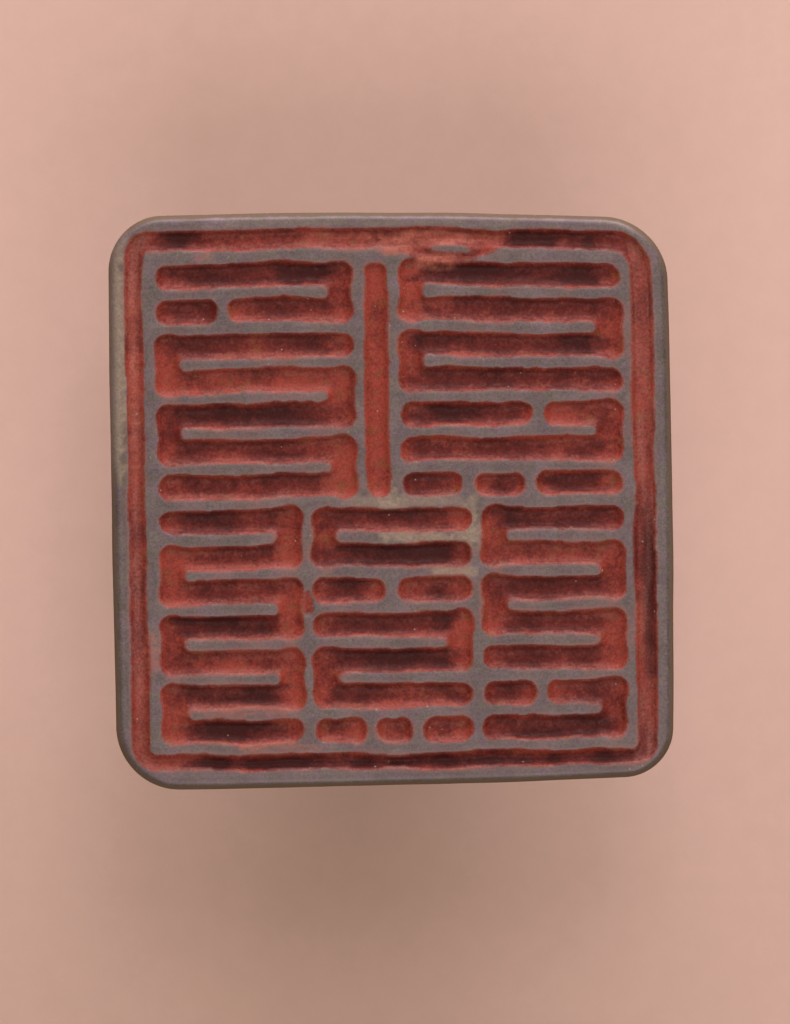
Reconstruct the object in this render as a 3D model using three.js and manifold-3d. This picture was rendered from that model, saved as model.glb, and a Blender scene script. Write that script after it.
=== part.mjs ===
import * as THREE from "three";
import Module from "manifold-3d";

// A square cast bronze seal, about 56 mm across, lying face up on the flat end of its plate handle.
// Block and handle are one casting. The face has a rounded rim, a groove all round, and rows of folded
// strokes cut between narrow walls. Millimetres, +Z up, origin under the middle on the handle's flat end.

// The hand-filed outline of the face: a rectangle whose corners have drifted and whose sides bulge.
const faceWidth = 55.8;
const faceHeight = 56.6;
const cornerRadius = { topRight: 6.1, topLeft: 5.3, bottomLeft: 6.2, bottomRight: 4.8 };
const cornerDrift = {
  topRight: { x: -0.4, y: -0.1 },
  topLeft: { x: -0.4, y: 0 },
  bottomLeft: { x: 0.6, y: -0.7 },
  bottomRight: { x: 0.4, y: 0.8 },
};
const sideBulge = { top: 0.6, right: 0.3, bottom: 0.25, left: 0.15 };

// The block, from its pillowed back to the rounded edge of the rim.
const blockThickness = 12.5;
const sideTaper = 1.1;
const backEdgeRound = 1.4;
const backPillow = 2.2;
const backFlatInset = 13;
const rimRound = 1.0;

// The plate handle that the block was cast with.
const handleWidth = 30;
const handleThickness = 16;
const handleHeight = 26;
const handleCorner = 4.5;
const handleSpread = 0.7;
const handleEndRound = 1.0;
const rootFillet = 2.4;
const rootDepth = 3;

// The bands of the face from its edge inwards: the rim, the groove and the frame round the strokes.
// They differ from side to side, and along the bottom they lean down towards the right.
const bandWidth = { rim: 1.7, groove: 1.75, frame: 1.3 };
const sideChange = {
  rim: { left: 0, right: 0, top: -0.1, bottom: 0 },
  groove: { left: -0.1, right: 0.25, top: 0.15, bottom: -0.25 },
  frame: { left: 0.1, right: -0.15, top: 0.1, bottom: -0.15 },
};
const grooveCorner = { topRight: 3.6, topLeft: 2.3, bottomLeft: 2.5, bottomRight: 1.8 };
const bottomLean = 0.28;

// The cuts in the face.
const wallWidth = 1.15;
const cutDepth = 1.5;
const cutCorner = 1.05;
const shoulderDepth = 1.1;
const shoulderInset = 0.35;
const floorInset = 0.75;
const cutClearance = 1;
const foldSetback = 0.04;

const cornerSteps = 6;
const sideSteps = 6;
const strokeCornerSteps = 2;
const roundSteps = 4;

const faceZ = handleHeight + backPillow + blockThickness;
const halfWidth = faceWidth / 2;
const halfHeight = faceHeight / 2;

// The strokes run in two tiers of seven rows. A panel takes a share of its tier's width. Its folds say on
// which side a row turns into the next, and its cuts where a row is parted into shorter strokes.
const rowsInTier = 7;
const tiers = [
  [
    { share: 0.47, folds: ["right", "", "left", "right", "left", "right"], cuts: { 1: [0.34] } },
    { upright: true },
    { share: 0.53, folds: ["left", "right", "left", "", "right", ""], cuts: { 4: [0.62], 6: [0.3, 0.58] } },
  ],
  [
    { share: 0.32, folds: ["right", "left", "right", "left", "right", "left"], cuts: {} },
    { share: 0.36, folds: ["left", "", "", "right", "left", ""], cuts: { 2: [0.5], 6: [0.36, 0.66] } },
    { share: 0.32, folds: ["left", "right", "left", "right", "", "right"], cuts: { 5: [0.4] } },
  ],
];

// How far in from each side of the face some of its bands reach, and a little more or less.
function insetBy(bands, more) {
  const insets = {};
  for (const side of ["left", "right", "top", "bottom"]) {
    insets[side] = bands.reduce((sum, band) => sum + bandWidth[band] + sideChange[band][side], more);
  }
  return insets;
}

const field = insetBy(["rim", "groove", "frame"], 0);
const fieldLeft = field.left - halfWidth;
const fieldRight = halfWidth - field.right;
const fieldTop = halfHeight - field.top;
const fieldBottom = field.bottom - halfHeight;
const rowPitch = (fieldTop - fieldBottom + wallWidth) / (rowsInTier * tiers.length);
const strokeWidth = rowPitch - wallWidth;

const wasm = await Module();
wasm.setup();

// A rounded rectangle as counter-clockwise points. Two with the same steps match point for point.
function roundedRectangle(halfX, halfY, radii, steps, betweenCorners) {
  const corners = [
    [1, 1, radii.topRight],
    [-1, 1, radii.topLeft],
    [-1, -1, radii.bottomLeft],
    [1, -1, radii.bottomRight],
  ];
  const arcs = corners.map(([signX, signY, radius], quarter) => {
    const arc = [];
    for (let step = 0; step <= steps; step++) {
      const angle = (quarter + step / steps) * (Math.PI / 2);
      arc.push(
        new THREE.Vector2(
          signX * (halfX - radius) + radius * Math.cos(angle),
          signY * (halfY - radius) + radius * Math.sin(angle),
        ),
      );
    }
    return arc;
  });
  const points = [];
  arcs.forEach((arc, quarter) => {
    points.push(...arc);
    const from = arc[steps];
    const to = arcs[(quarter + 1) % arcs.length][0];
    for (let step = 1; step < betweenCorners; step++) {
      points.push(from.clone().lerp(to, step / betweenCorners));
    }
  });
  return points;
}

// Moves a point of the true rectangle to where the hand-filed face has it.
function drifted(point) {
  const u = point.x / halfWidth;
  const v = point.y / halfHeight;
  const right = (1 + u) / 2;
  const top = (1 + v) / 2;
  const { topRight, topLeft, bottomLeft, bottomRight } = cornerDrift;
  const mix = (axis) =>
    top * (right * topRight[axis] + (1 - right) * topLeft[axis]) +
    (1 - top) * (right * bottomRight[axis] + (1 - right) * bottomLeft[axis]);
  const outX = (right * sideBulge.right - (1 - right) * sideBulge.left) * (1 - v * v);
  const outY = (top * sideBulge.top - (1 - top) * sideBulge.bottom) * (1 - u * u);
  return new THREE.Vector2(point.x + mix("x") + outX, point.y + mix("y") + outY);
}

// The same for a point of a cut, which also leans with the bottom bands.
function cutPoint(point) {
  const low = Math.max(0, -point.y / halfHeight);
  const leaned = new THREE.Vector2(point.x, point.y - bottomLean * (point.x / halfWidth) * low);
  return drifted(leaned).sub(middle);
}

function shrunk(radii, less) {
  const smallest = 0.6;
  return Object.fromEntries(Object.entries(radii).map(([corner, r]) => [corner, Math.max(r - less, smallest)]));
}

// The face's outline, taken in by an even distance.
function faceOutline(inset) {
  const radii = shrunk(cornerRadius, inset);
  return roundedRectangle(halfWidth - inset, halfHeight - inset, radii, cornerSteps, sideSteps).map(drifted);
}

const middle = new THREE.Box2().setFromPoints(faceOutline(0)).getCenter(new THREE.Vector2());

// A closed solid through rings of matching points, listed from the lowest up.
function loft(rings) {
  const size = rings[0].points.length;
  const positions = rings.flatMap(({ points, z }) => points.flatMap((p) => [p.x, p.y, z]));
  const triangles = [];
  for (let ring = 0; ring < rings.length - 1; ring++) {
    for (let i = 0; i < size; i++) {
      const next = (i + 1) % size;
      const a = ring * size + i;
      const b = ring * size + next;
      triangles.push(a, b, b + size, a, b + size, a + size);
    }
  }
  const last = (rings.length - 1) * size;
  for (const [a, b, c] of THREE.ShapeUtils.triangulateShape(rings[0].points, [])) {
    triangles.push(a, c, b);
  }
  for (const [a, b, c] of THREE.ShapeUtils.triangulateShape(rings.at(-1).points, [])) {
    triangles.push(last + a, last + b, last + c);
  }
  return new wasm.Manifold(
    new wasm.Mesh({
      numProp: 3,
      vertProperties: new Float32Array(positions),
      triVerts: new Uint32Array(triangles),
    }),
  );
}

// Steps round a quarter circle, as the share gone sideways and the share gone up.
function quarterRound() {
  const shares = [];
  for (let step = 0; step <= roundSteps; step++) {
    const angle = (step / roundSteps) * (Math.PI / 2);
    shares.push({ sideways: Math.sin(angle), up: 1 - Math.cos(angle) });
  }
  return shares;
}

function blockRing(inset, z) {
  return { points: faceOutline(inset).map((p) => p.sub(middle)), z };
}

// The block: a pillowed back, a rounded back edge, leaning sides and a rounded rim.
function makeBlock() {
  const rings = [];
  const pillowSteps = 5;
  const pillowInset = sideTaper + backEdgeRound;
  for (let step = 0; step < pillowSteps; step++) {
    const share = step / pillowSteps;
    const inset = backFlatInset + (pillowInset - backFlatInset) * share;
    rings.push(blockRing(inset, handleHeight + backPillow * share * share));
  }
  for (const { sideways, up } of quarterRound()) {
    const inset = pillowInset - backEdgeRound * sideways;
    rings.push(blockRing(inset, handleHeight + backPillow + backEdgeRound * up));
  }
  for (const { sideways, up } of quarterRound().reverse()) {
    rings.push(blockRing(rimRound * (1 - sideways), faceZ - rimRound * up));
  }
  return loft(rings);
}

function handleRing(spread, z) {
  const radius = Math.max(handleCorner + spread, 1);
  const radii = { topRight: radius, topLeft: radius, bottomLeft: radius, bottomRight: radius };
  const points = roundedRectangle(
    handleWidth / 2 + spread,
    handleThickness / 2 + spread,
    radii,
    cornerSteps,
    1,
  );
  return { points, z };
}

// The handle: a flat end with a rounded edge, a slight spread and a fillet into the back.
function makeHandle() {
  const rings = [];
  for (const { sideways, up } of quarterRound()) {
    rings.push(handleRing(handleEndRound * (sideways - 1), handleEndRound * up));
  }
  const filletStart = handleHeight - rootFillet;
  for (const { sideways, up } of quarterRound()) {
    rings.push(handleRing(handleSpread + rootFillet * up, filletStart + rootFillet * sideways));
  }
  rings.push(handleRing(handleSpread + rootFillet, handleHeight + rootDepth));
  return loft(rings);
}

// How far a cut's walls stand in from its edge at the face, from its floor up to clear of the metal.
const cutProfile = [
  { inset: floorInset, z: faceZ - cutDepth },
  { inset: shoulderInset, z: faceZ - shoulderDepth },
  { inset: (-shoulderInset * cutClearance) / shoulderDepth, z: faceZ + cutClearance },
];

// The tool for one straight stroke between two corners of the true rectangle.
function strokeTool(left, bottom, right, top) {
  const centre = new THREE.Vector2((left + right) / 2, (bottom + top) / 2);
  const rings = cutProfile.map(({ inset, z }) => {
    const radius = Math.max(cutCorner - inset, 0.3);
    const radii = { topRight: radius, topLeft: radius, bottomLeft: radius, bottomRight: radius };
    const halfX = (right - left) / 2 - inset;
    const halfY = (top - bottom) / 2 - inset;
    const points = roundedRectangle(halfX, halfY, radii, strokeCornerSteps, 1);
    return { points: points.map((p) => cutPoint(p.add(centre))), z };
  });
  return loft(rings);
}

// A ring of the groove's tool, taken in from each side by its own distance.
function grooveRing(insets, radii, z) {
  const centre = new THREE.Vector2((insets.left - insets.right) / 2, (insets.bottom - insets.top) / 2);
  const halfX = halfWidth - (insets.left + insets.right) / 2;
  const halfY = halfHeight - (insets.bottom + insets.top) / 2;
  const points = roundedRectangle(halfX, halfY, radii, cornerSteps, sideSteps);
  return { points: points.map((p) => cutPoint(p.add(centre))), z };
}

// The tool for the groove that runs all round inside the rim.
function grooveTool() {
  const outer = cutProfile.map(({ inset, z }) =>
    grooveRing(insetBy(["rim"], inset), shrunk(grooveCorner, inset), z),
  );
  const island = cutProfile.map(({ inset, z }, level) => {
    const past = level === 0 ? cutClearance : 0;
    const radii = shrunk(grooveCorner, bandWidth.groove - inset);
    return grooveRing(insetBy(["rim", "groove"], -inset), radii, z - past);
  });
  return loft(outer).subtract(loft(island));
}

// One panel's strokes: its rows, parted where it says, and its folds from row to row.
function panelTools(panel, left, right, tierTop) {
  const tools = [];
  const width = right - left;
  for (let row = 0; row < rowsInTier; row++) {
    const top = tierTop - row * rowPitch;
    const gaps = (panel.cuts[row] ?? []).map((share) => left + share * width);
    const starts = [left, ...gaps.map((x) => x + wallWidth / 2)];
    const ends = [...gaps.map((x) => x - wallWidth / 2), right];
    starts.forEach((start, i) => tools.push(strokeTool(start, top - strokeWidth, ends[i], top)));
  }
  panel.folds.forEach((side, row) => {
    if (!side) return;
    const top = tierTop - row * rowPitch - strokeWidth / 3;
    const bottom = tierTop - (row + 2) * rowPitch + wallWidth + strokeWidth / 3;
    const outer = side === "left" ? left + foldSetback : right - foldSetback;
    const inner = side === "left" ? left + strokeWidth : right - strokeWidth;
    tools.push(strokeTool(Math.min(outer, inner), bottom, Math.max(outer, inner), top));
  });
  return tools;
}

// All strokes of one tier, from its left panel to its right.
function tierTools(panels, tierTop) {
  const uprights = panels.filter((panel) => panel.upright).length;
  const shared = fieldRight - fieldLeft - (panels.length - 1) * wallWidth - uprights * strokeWidth;
  const tools = [];
  let left = fieldLeft;
  for (const panel of panels) {
    const right = left + (panel.upright ? strokeWidth : panel.share * shared);
    if (panel.upright) {
      const bottom = tierTop - rowsInTier * rowPitch + wallWidth;
      tools.push(strokeTool(left, bottom, right, tierTop));
    } else {
      tools.push(...panelTools(panel, left, right, tierTop));
    }
    left = right + wallWidth;
  }
  return tools;
}

function makeSeal() {
  const strokes = tiers.flatMap((panels, tier) => tierTools(panels, fieldTop - tier * rowsInTier * rowPitch));
  const cuts = strokes.reduce((all, tool) => all.add(tool), grooveTool());
  return makeBlock().add(makeHandle()).subtract(cuts);
}

// The finished solid as a three.js geometry.
function geometryOf(solid) {
  const mesh = solid.getMesh();
  const geometry = new THREE.BufferGeometry();
  geometry.setAttribute("position", new THREE.BufferAttribute(mesh.vertProperties, mesh.numProp));
  geometry.setIndex(new THREE.BufferAttribute(mesh.triVerts, 1));
  geometry.computeVertexNormals();
  return geometry;
}

const bronze = new THREE.MeshStandardMaterial({ color: 0x776860, roughness: 0.5, metalness: 0.7 });

const seal = new THREE.Mesh(geometryOf(makeSeal()), bronze);
seal.name = "seal";

const group = new THREE.Group();
group.name = "bronze_seal";
group.add(seal);

export default group;
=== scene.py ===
import itertools
import math
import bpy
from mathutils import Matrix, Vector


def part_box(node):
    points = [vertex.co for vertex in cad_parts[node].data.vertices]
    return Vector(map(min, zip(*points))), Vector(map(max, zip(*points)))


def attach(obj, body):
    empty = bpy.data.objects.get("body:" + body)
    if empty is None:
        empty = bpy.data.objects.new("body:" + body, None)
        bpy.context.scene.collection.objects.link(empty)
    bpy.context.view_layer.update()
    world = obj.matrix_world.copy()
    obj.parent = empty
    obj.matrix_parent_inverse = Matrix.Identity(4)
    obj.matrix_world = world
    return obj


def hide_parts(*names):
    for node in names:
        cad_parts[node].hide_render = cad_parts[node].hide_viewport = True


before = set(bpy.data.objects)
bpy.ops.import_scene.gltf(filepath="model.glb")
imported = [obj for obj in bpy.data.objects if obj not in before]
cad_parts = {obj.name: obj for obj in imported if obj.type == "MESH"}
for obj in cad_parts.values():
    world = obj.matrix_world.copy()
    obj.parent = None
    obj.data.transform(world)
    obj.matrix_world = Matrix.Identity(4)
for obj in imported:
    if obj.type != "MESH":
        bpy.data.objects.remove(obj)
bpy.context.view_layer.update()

from types import SimpleNamespace

import bpy
import numpy as np
from mathutils import Vector

bl_info = {
    "name": "Bronze seal",
    "version": (1, 0, 0),
    "blender": (4, 5, 0),
    "location": "View3D > Sidebar > Seal",
    "description": "Casts a square bronze seal with red paste in its cuts and sets its stage",
    "category": "Add Mesh",
}

MM = 0.001

# The face as it was filed: the radius of each corner, how far each has drifted from a true
# rectangle, and how far each side bulges at its middle. Millimetres, right and top as photographed.
CORNER_RADIUS = {"top_right": 6.1, "top_left": 5.3, "bottom_left": 6.2, "bottom_right": 4.8}
CORNER_DRIFT = {
    "top_right": (-0.4, -0.1),
    "top_left": (-0.4, 0.0),
    "bottom_left": (0.6, -0.7),
    "bottom_right": (0.4, 0.8),
}
SIDE_BULGE = {"top": 0.6, "right": 0.3, "bottom": 0.25, "left": 0.15}

# The bands from the edge inwards differ from side to side, and along the bottom they lean down
# towards the right. The groove has corners of its own.
SIDE_CHANGE = {
    "rim": {"left": 0, "right": 0, "top": -0.1, "bottom": 0},
    "groove": {"left": -0.1, "right": 0.25, "top": 0.15, "bottom": -0.25},
    "frame": {"left": 0.1, "right": -0.15, "top": 0.1, "bottom": -0.15},
}
GROOVE_CORNER = {"top_right": 3.6, "top_left": 2.3, "bottom_left": 2.5, "bottom_right": 1.8}
BOTTOM_LEAN = 0.28

# The strokes run in two tiers of seven rows. A panel takes a share of its tier's width. Its folds
# say on which side a row turns into the next, and its cuts where a row is parted.
ROWS_IN_TIER = 7
TIERS = (
    (
        {"share": 0.47, "folds": ("right", "", "left", "right", "left", "right"), "cuts": {1: (0.34,)}},
        {"upright": True},
        {
            "share": 0.53,
            "folds": ("left", "right", "left", "", "right", ""),
            "cuts": {4: (0.62,), 6: (0.3, 0.58)},
        },
    ),
    (
        {"share": 0.32, "folds": ("right", "left", "right", "left", "right", "left"), "cuts": {}},
        {
            "share": 0.36,
            "folds": ("left", "", "", "right", "left", ""),
            "cuts": {2: (0.5,), 6: (0.36, 0.66)},
        },
        {"share": 0.32, "folds": ("left", "right", "left", "right", "", "right"), "cuts": {5: (0.4,)}},
    ),
)

# The corners of a stroke, and how softly two cuts run together, in millimetres.
CUT_CORNER = 1.05
FOLD_BLEND = 0.7

# The block's back and the handle it was cast with, in millimetres.
BACK_FLAT_INSET = 13.0
HANDLE_CORNER = 4.5
HANDLE_SPREAD = 0.7
HANDLE_END_ROUND = 1.0
ROOT_FILLET = 2.4

# Damage on the face: the middle and half sizes of each patch, in millimetres from the face's middle.
# Breaks are small hollows, smears are pale paste and abrasions are grazed metal. The last abrasion,
# along the top rim, is pale grains that are partly painted sparkle of the rim's highlight.
BREAKS = (
    {"x": 5.4, "y": 23.7, "half_x": 2.5, "half_y": 0.8, "depth": 0.2},
    {"x": -8.5, "y": -10.2, "half_x": 0.8, "half_y": 1.3, "depth": 0.15},
)
SMEARS = (
    {"x": 4.0, "y": 25.9, "half_x": 6.5, "half_y": 0.7, "strength": 0.85},
    {"x": 5.3, "y": 23.6, "half_x": 2.6, "half_y": 0.85, "strength": 1.2},
    {"x": 0.6, "y": 25.0, "half_x": 3.0, "half_y": 0.8, "strength": 0.7},
    {"x": -25.5, "y": 12.5, "half_x": 0.55, "half_y": 11.0, "strength": 0.4},
    {"x": -24.2, "y": -15.0, "half_x": 0.8, "half_y": 2.8, "strength": 0.45},
    {"x": -15.6, "y": -20.6, "half_x": 5.5, "half_y": 0.7, "strength": 0.4},
    {"x": -11.5, "y": -24.4, "half_x": 3.8, "half_y": 0.7, "strength": 0.45},
    {"x": -18.4, "y": 24.1, "half_x": 1.1, "half_y": 0.5, "strength": 0.9},
    {"x": -6.5, "y": 25.8, "half_x": 2.6, "half_y": 0.6, "strength": 0.45},
    {"x": 24.6, "y": -11.5, "half_x": 0.6, "half_y": 2.6, "strength": 0.35},
)
ABRASIONS_AND_RIM_SPARKLE = (
    {"x": -0.3, "y": -1.6, "half_x": 1.6, "half_y": 3.0, "strength": 1.0},
    {"x": 7.4, "y": -2.6, "half_x": 1.4, "half_y": 2.6, "strength": 1.0},
    {"x": 3.4, "y": -3.9, "half_x": 3.0, "half_y": 0.8, "strength": 1.0},
    {"x": 5.9, "y": -7.2, "half_x": 2.6, "half_y": 0.8, "strength": 1.0},
    {"x": 1.5, "y": -0.2, "half_x": 8.5, "half_y": 0.8, "strength": 0.6},
    {"x": -26.9, "y": 15.5, "half_x": 1.1, "half_y": 13.0, "strength": 0.9},
    # Along the top rim: pale grains, partly painted sparkle where the rim catches the light.
    {"x": -4.0, "y": 27.6, "half_x": 19.0, "half_y": 0.55, "strength": 0.3},
)
# A wedge of metal left standing where the groove is broken wider, and a scratch across the
# bottom rim.
WEDGE = {"x": 6.1, "y": 24.6, "half_x": 2.4, "half_y": 0.42}
RIM_SCRATCH = {"x": 9.4, "y": -27.4, "lean": 0.9, "half_width": 0.12}

# How unevenly the seal was cut, filed and worn, in millimetres. A name that ends in SIZE says over
# what length the one before it changes.
WOBBLE = 0.15
WOBBLE_SIZE = 5.0
JITTER = 0.05
JITTER_SIZE = 1.2
WIDTH_CHANGE = 0.12
WIDTH_CHANGE_SIZE = 3.5
RIM_FALL = 0.05
WALL_WEAR = 0.02
GRAZE_DEPTH = 0.05
SCRATCH_DEPTH = 0.06
PASTE_LUMP = 0.03
SKIN_ROUGHNESS = 0.05
SKIN_DENT = 0.16
SKIN_PIT = 0.18

# The old paste: the share of a cut's depth that it fills, and the shape of its hollow surface as
# insets from the cut's edge in millimetres with the height lost there, out of the last one.
PASTE_FILL = 0.62
HOLLOW_INSETS = (-0.25, 0.0, 0.10, 0.30, 0.60, 1.10)
HOLLOW_FALLS = (0.0, 0.03, 0.14, 0.27, 0.37, 0.41)
# How much darker than most the paste of a stroke may be, by kind of stroke. Below 0 it is brighter.
# Partly painted light and shade: uprights and folds lighter as if lit, rows darker as if shaded.
STROKE_TONE_AND_SHADE = {"row": (-0.22, 0.12), "fold": (-0.34, 0.02), "upright": (-0.34, -0.1)}
# The film of paste on the walls is thickest this far from a cut's edge, and fades over the width.
FILM_PLACE = 0.10
FILM_WIDTH = 0.19

# What is painted on the mesh's points for the materials. Heart is old dark paste together with
# painted shade in the middle of the strokes, film is dried paste with a painted highlight on the cuts'
# lower edges, pale is smeared paste, flow is 1 where a cut runs up the face, abrasion is grazed metal
# with painted sparkle along the top rim, rub is bright from handling, aged is dark patina, and skin
# says where the casting's own skin is roughened.
PAINTS = ("paste", "heart", "film", "pale", "flow", "abrasion", "grime", "skin", "rub", "aged")

# The mesh: the face is a square grid whose edge count halves on the way down to the handle's end.
# The noise repeats after as many sizes as its table is long.
FACE_CELLS = 256
FACE_RING = 4 * FACE_CELLS
RIM_STEPS = 6
SIDE_STEPS = 12
EDGE_STEPS = 4
BACK_STEPS = 14
HANDLE_STEPS = 14
END_CAP_SPREADS = (-3.0, -5.0, -7.0)
NOISE_TABLE = 64

# How strongly the metal is brushed and grazed all over, and the depth of the finest relief.
FACE_BRUSHING = 0.28
SKIN_BRUSHING = 0.12
SKIN_ABRASION = 0.12
FACE_BUMP = 0.018 * MM
SKIN_BUMP = 0.10 * MM

# The stage, in metres. The view's middle lies a little right of the seal's and below it.
FLOOR_SIZE = 6.0
LIGHTS = {
    "top_light": {"place": (0.065, 0.62, 0.23), "size": 0.68},
    "bottom_light": {"place": (0.07, -0.45, 0.78), "size": 0.55},
    "high_light": {"place": (0.05, 0.31, 0.77), "size": 0.21},
}
ROOM_COLOUR = (1.0, 0.88, 0.22)
VIEW_MIDDLE = (0.4 * MM, -1.1 * MM)


def length_property(name, description, default):
    return bpy.props.FloatProperty(name=name, description=description, default=default, unit="LENGTH")


def power_property(name, description, default):
    return bpy.props.FloatProperty(name=name, description=description, default=default, unit="POWER")


def colour_property(name, description, default):
    return bpy.props.FloatVectorProperty(
        name=name, description=description, default=default, subtype="COLOR", size=3, min=0, max=1
    )


class SealSizes(bpy.types.PropertyGroup):
    """Driving sizes of the casting."""

    face_width: length_property("Face width", "Across the cut face", 55.8 * MM)
    face_height: length_property("Face height", "Along the cut face", 56.6 * MM)
    block_thickness: length_property("Block thickness", "From the back's edge to the face", 12.5 * MM)
    side_taper: length_property("Side taper", "How far the sides lean in towards the back", 1.1 * MM)
    back_edge_round: length_property("Back edge round", "Radius of the block's back edge", 1.4 * MM)
    back_pillow: length_property("Back pillow", "How far the back bulges", 2.2 * MM)
    rim_round: length_property("Rim round", "Radius of the face's outer edge", 1.0 * MM)
    handle_width: length_property("Handle width", "Across the plate handle", 30 * MM)
    handle_thickness: length_property("Handle thickness", "Through the plate handle", 16 * MM)
    handle_height: length_property("Handle height", "From the handle's end to the back", 26 * MM)
    rim_width: length_property("Rim width", "From the outline to the groove", 1.7 * MM)
    groove_width: length_property("Groove width", "Across the groove inside the rim", 1.75 * MM)
    frame_width: length_property("Frame width", "From the groove to the strokes", 1.3 * MM)
    wall_width: length_property("Wall width", "Across a wall between two strokes", 1.15 * MM)
    cut_depth: length_property("Cut depth", "From the face to a stroke's floor", 1.5 * MM)


class SealColours(bpy.types.PropertyGroup):
    """Colours of the bronze, of what lies on it and of the floor."""

    bronze: colour_property("Bronze", "Worn metal of the face", (0.190, 0.137, 0.141))
    lavender: colour_property("Lavender", "Cool tarnish on the metal", (0.197, 0.132, 0.158))
    green: colour_property("Green", "Greenish tarnish on the metal", (0.172, 0.143, 0.122))
    brown: colour_property("Brown", "Brown patina on the rim's outer edge", (0.180, 0.106, 0.068))
    patina: colour_property("Patina", "Dark patina of the sides, back and handle", (0.082, 0.058, 0.043))
    # Crust is also laid on the face as rare pale dots, painted glints.
    crust_and_glint: colour_property("Crust", "Pale grains where the metal is abraded", (0.370, 0.258, 0.200))
    # The paste runs from vermilion to oxblood: the dark end is old paste and partly painted shade in the
    # strokes' hearts, the bright end partly painted light at ends and folds.
    vermilion: colour_property("Vermilion", "Bright paste at ends and folds", (0.325, 0.049, 0.036))
    orange: colour_property("Orange", "Thin oily paste here and there", (0.240, 0.060, 0.030))
    crimson: colour_property("Crimson", "Paste of middling depth", (0.160, 0.021, 0.018))
    oxblood_and_shade: colour_property("Oxblood", "Old dark paste in the long strokes", (0.064, 0.009, 0.009))
    salmon: colour_property("Salmon", "Pale paste smeared over broken places", (0.560, 0.150, 0.108))
    # The film's colour is laid a little thicker on the cuts' lower edges as a painted highlight.
    film: colour_property("Film", "Thin paste dried on the walls' edges", (0.345, 0.128, 0.114))
    floor: colour_property("Floor", "The floor and the far background", (0.780, 0.478, 0.425))


class SealStage(bpy.types.PropertyGroup):
    """Camera and lights of the stage."""

    view_height: length_property("View height", "Height of the view at the face", 102.4 * MM)
    camera_distance: length_property("Camera distance", "From the face to the lens", 0.7)
    top_light: power_property("Top light", "Power of the light beyond the face's top", 7.0)
    bottom_light: power_property("Bottom light", "Power of the light before the face's bottom", 2.88)
    high_light: power_property("High light", "Power of the small light over the top", 0.72)
    room_light: bpy.props.FloatProperty(
        name="Room light", description="Strength of the even light from all round", default=0.135
    )


# Noise and blends


def lattice_noise(points, size, seed):
    """Smooth noise from -1 to 1 that changes over about one size, the same on every run."""
    table = np.random.default_rng(seed).uniform(-1, 1, (NOISE_TABLE,) * 3)
    cell = np.floor(points / size).astype(int)
    part = points / size - cell
    ease = part * part * (3 - 2 * part)
    total = np.zeros(len(points))
    for corner in itertools.product((0, 1), repeat=3):
        weight = np.prod(np.where(corner, ease, 1 - ease), axis=1)
        across, along, up = ((cell + corner) % NOISE_TABLE).T
        total += weight * table[across, along, up]
    return total


def face_noise(x, y, size, seed):
    """The same noise on the face, with a seed for each use. The size may differ across and along."""
    across, along = (size, size) if np.isscalar(size) else size
    points = np.stack([x.ravel() / across, y.ravel() / along, np.zeros(x.size)], axis=1)
    return lattice_noise(points, 1.0, seed).reshape(x.shape)


def ramp(value, low, high):
    """Eases from 0 at low to 1 at high, which may be the smaller of the two."""
    share = np.clip((value - low) / (high - low), 0, 1)
    return share * share * (3 - 2 * share)


def reach_from(x, y, spot):
    """How far a point lies from the middle of an oval spot, with 1 on its edge."""
    return np.hypot((x - spot["x"]) / spot["half_x"], (y - spot["y"]) / spot["half_y"])


def patch(x, y, spot, seed):
    """1 in the middle of a patch, falling to 0 at its ragged edge."""
    ragged = 0.35 * face_noise(x, y, 0.9, seed) + 0.2 * face_noise(x, y, 0.35, seed + 1)
    return ramp(reach_from(x, y, spot) + ragged, 1.15, 0.65)


def strongest_patch(x, y, spots, seed):
    """The strongest of several patches at each place."""
    strength = np.zeros(x.shape)
    for number, spot in enumerate(spots):
        strength = np.maximum(strength, spot["strength"] * patch(x, y, spot, seed + 3 * number))
    return strength


# The plan of the face


def plan_of(sizes):
    """The driving sizes in millimetres, with those that follow from them."""
    plan = SimpleNamespace(**{name: getattr(sizes, name) / MM for name in SealSizes.__annotations__})
    plan.half_width = plan.face_width / 2
    plan.half_height = plan.face_height / 2
    plan.groove_outer = edges_of(("rim",), plan)
    plan.groove_inner = edges_of(("rim", "groove"), plan)
    plan.field = edges_of(("rim", "groove", "frame"), plan)
    rows = ROWS_IN_TIER * len(TIERS)
    plan.row_pitch = (plan.field.top - plan.field.bottom + plan.wall_width) / rows
    plan.stroke_width = plan.row_pitch - plan.wall_width
    plan.face_z = plan.handle_height + plan.back_pillow + plan.block_thickness
    plan.edge_inset = plan.side_taper + plan.back_edge_round
    plan.middle = outline_middle(plan)
    return plan


def edges_of(bands, plan):
    """The rectangle left when some of the bands are taken off the face's sides."""
    off = {}
    for side in ("left", "bottom", "right", "top"):
        off[side] = sum(getattr(plan, band + "_width") + SIDE_CHANGE[band][side] for band in bands)
    return SimpleNamespace(
        left=off["left"] - plan.half_width,
        bottom=off["bottom"] - plan.half_height,
        right=plan.half_width - off["right"],
        top=plan.half_height - off["top"],
    )


def stroke(kind, left, bottom, right, top):
    """One cut of the face as a box. Its kind is row, fold or upright."""
    return SimpleNamespace(kind=kind, left=left, bottom=bottom, right=right, top=top)


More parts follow.
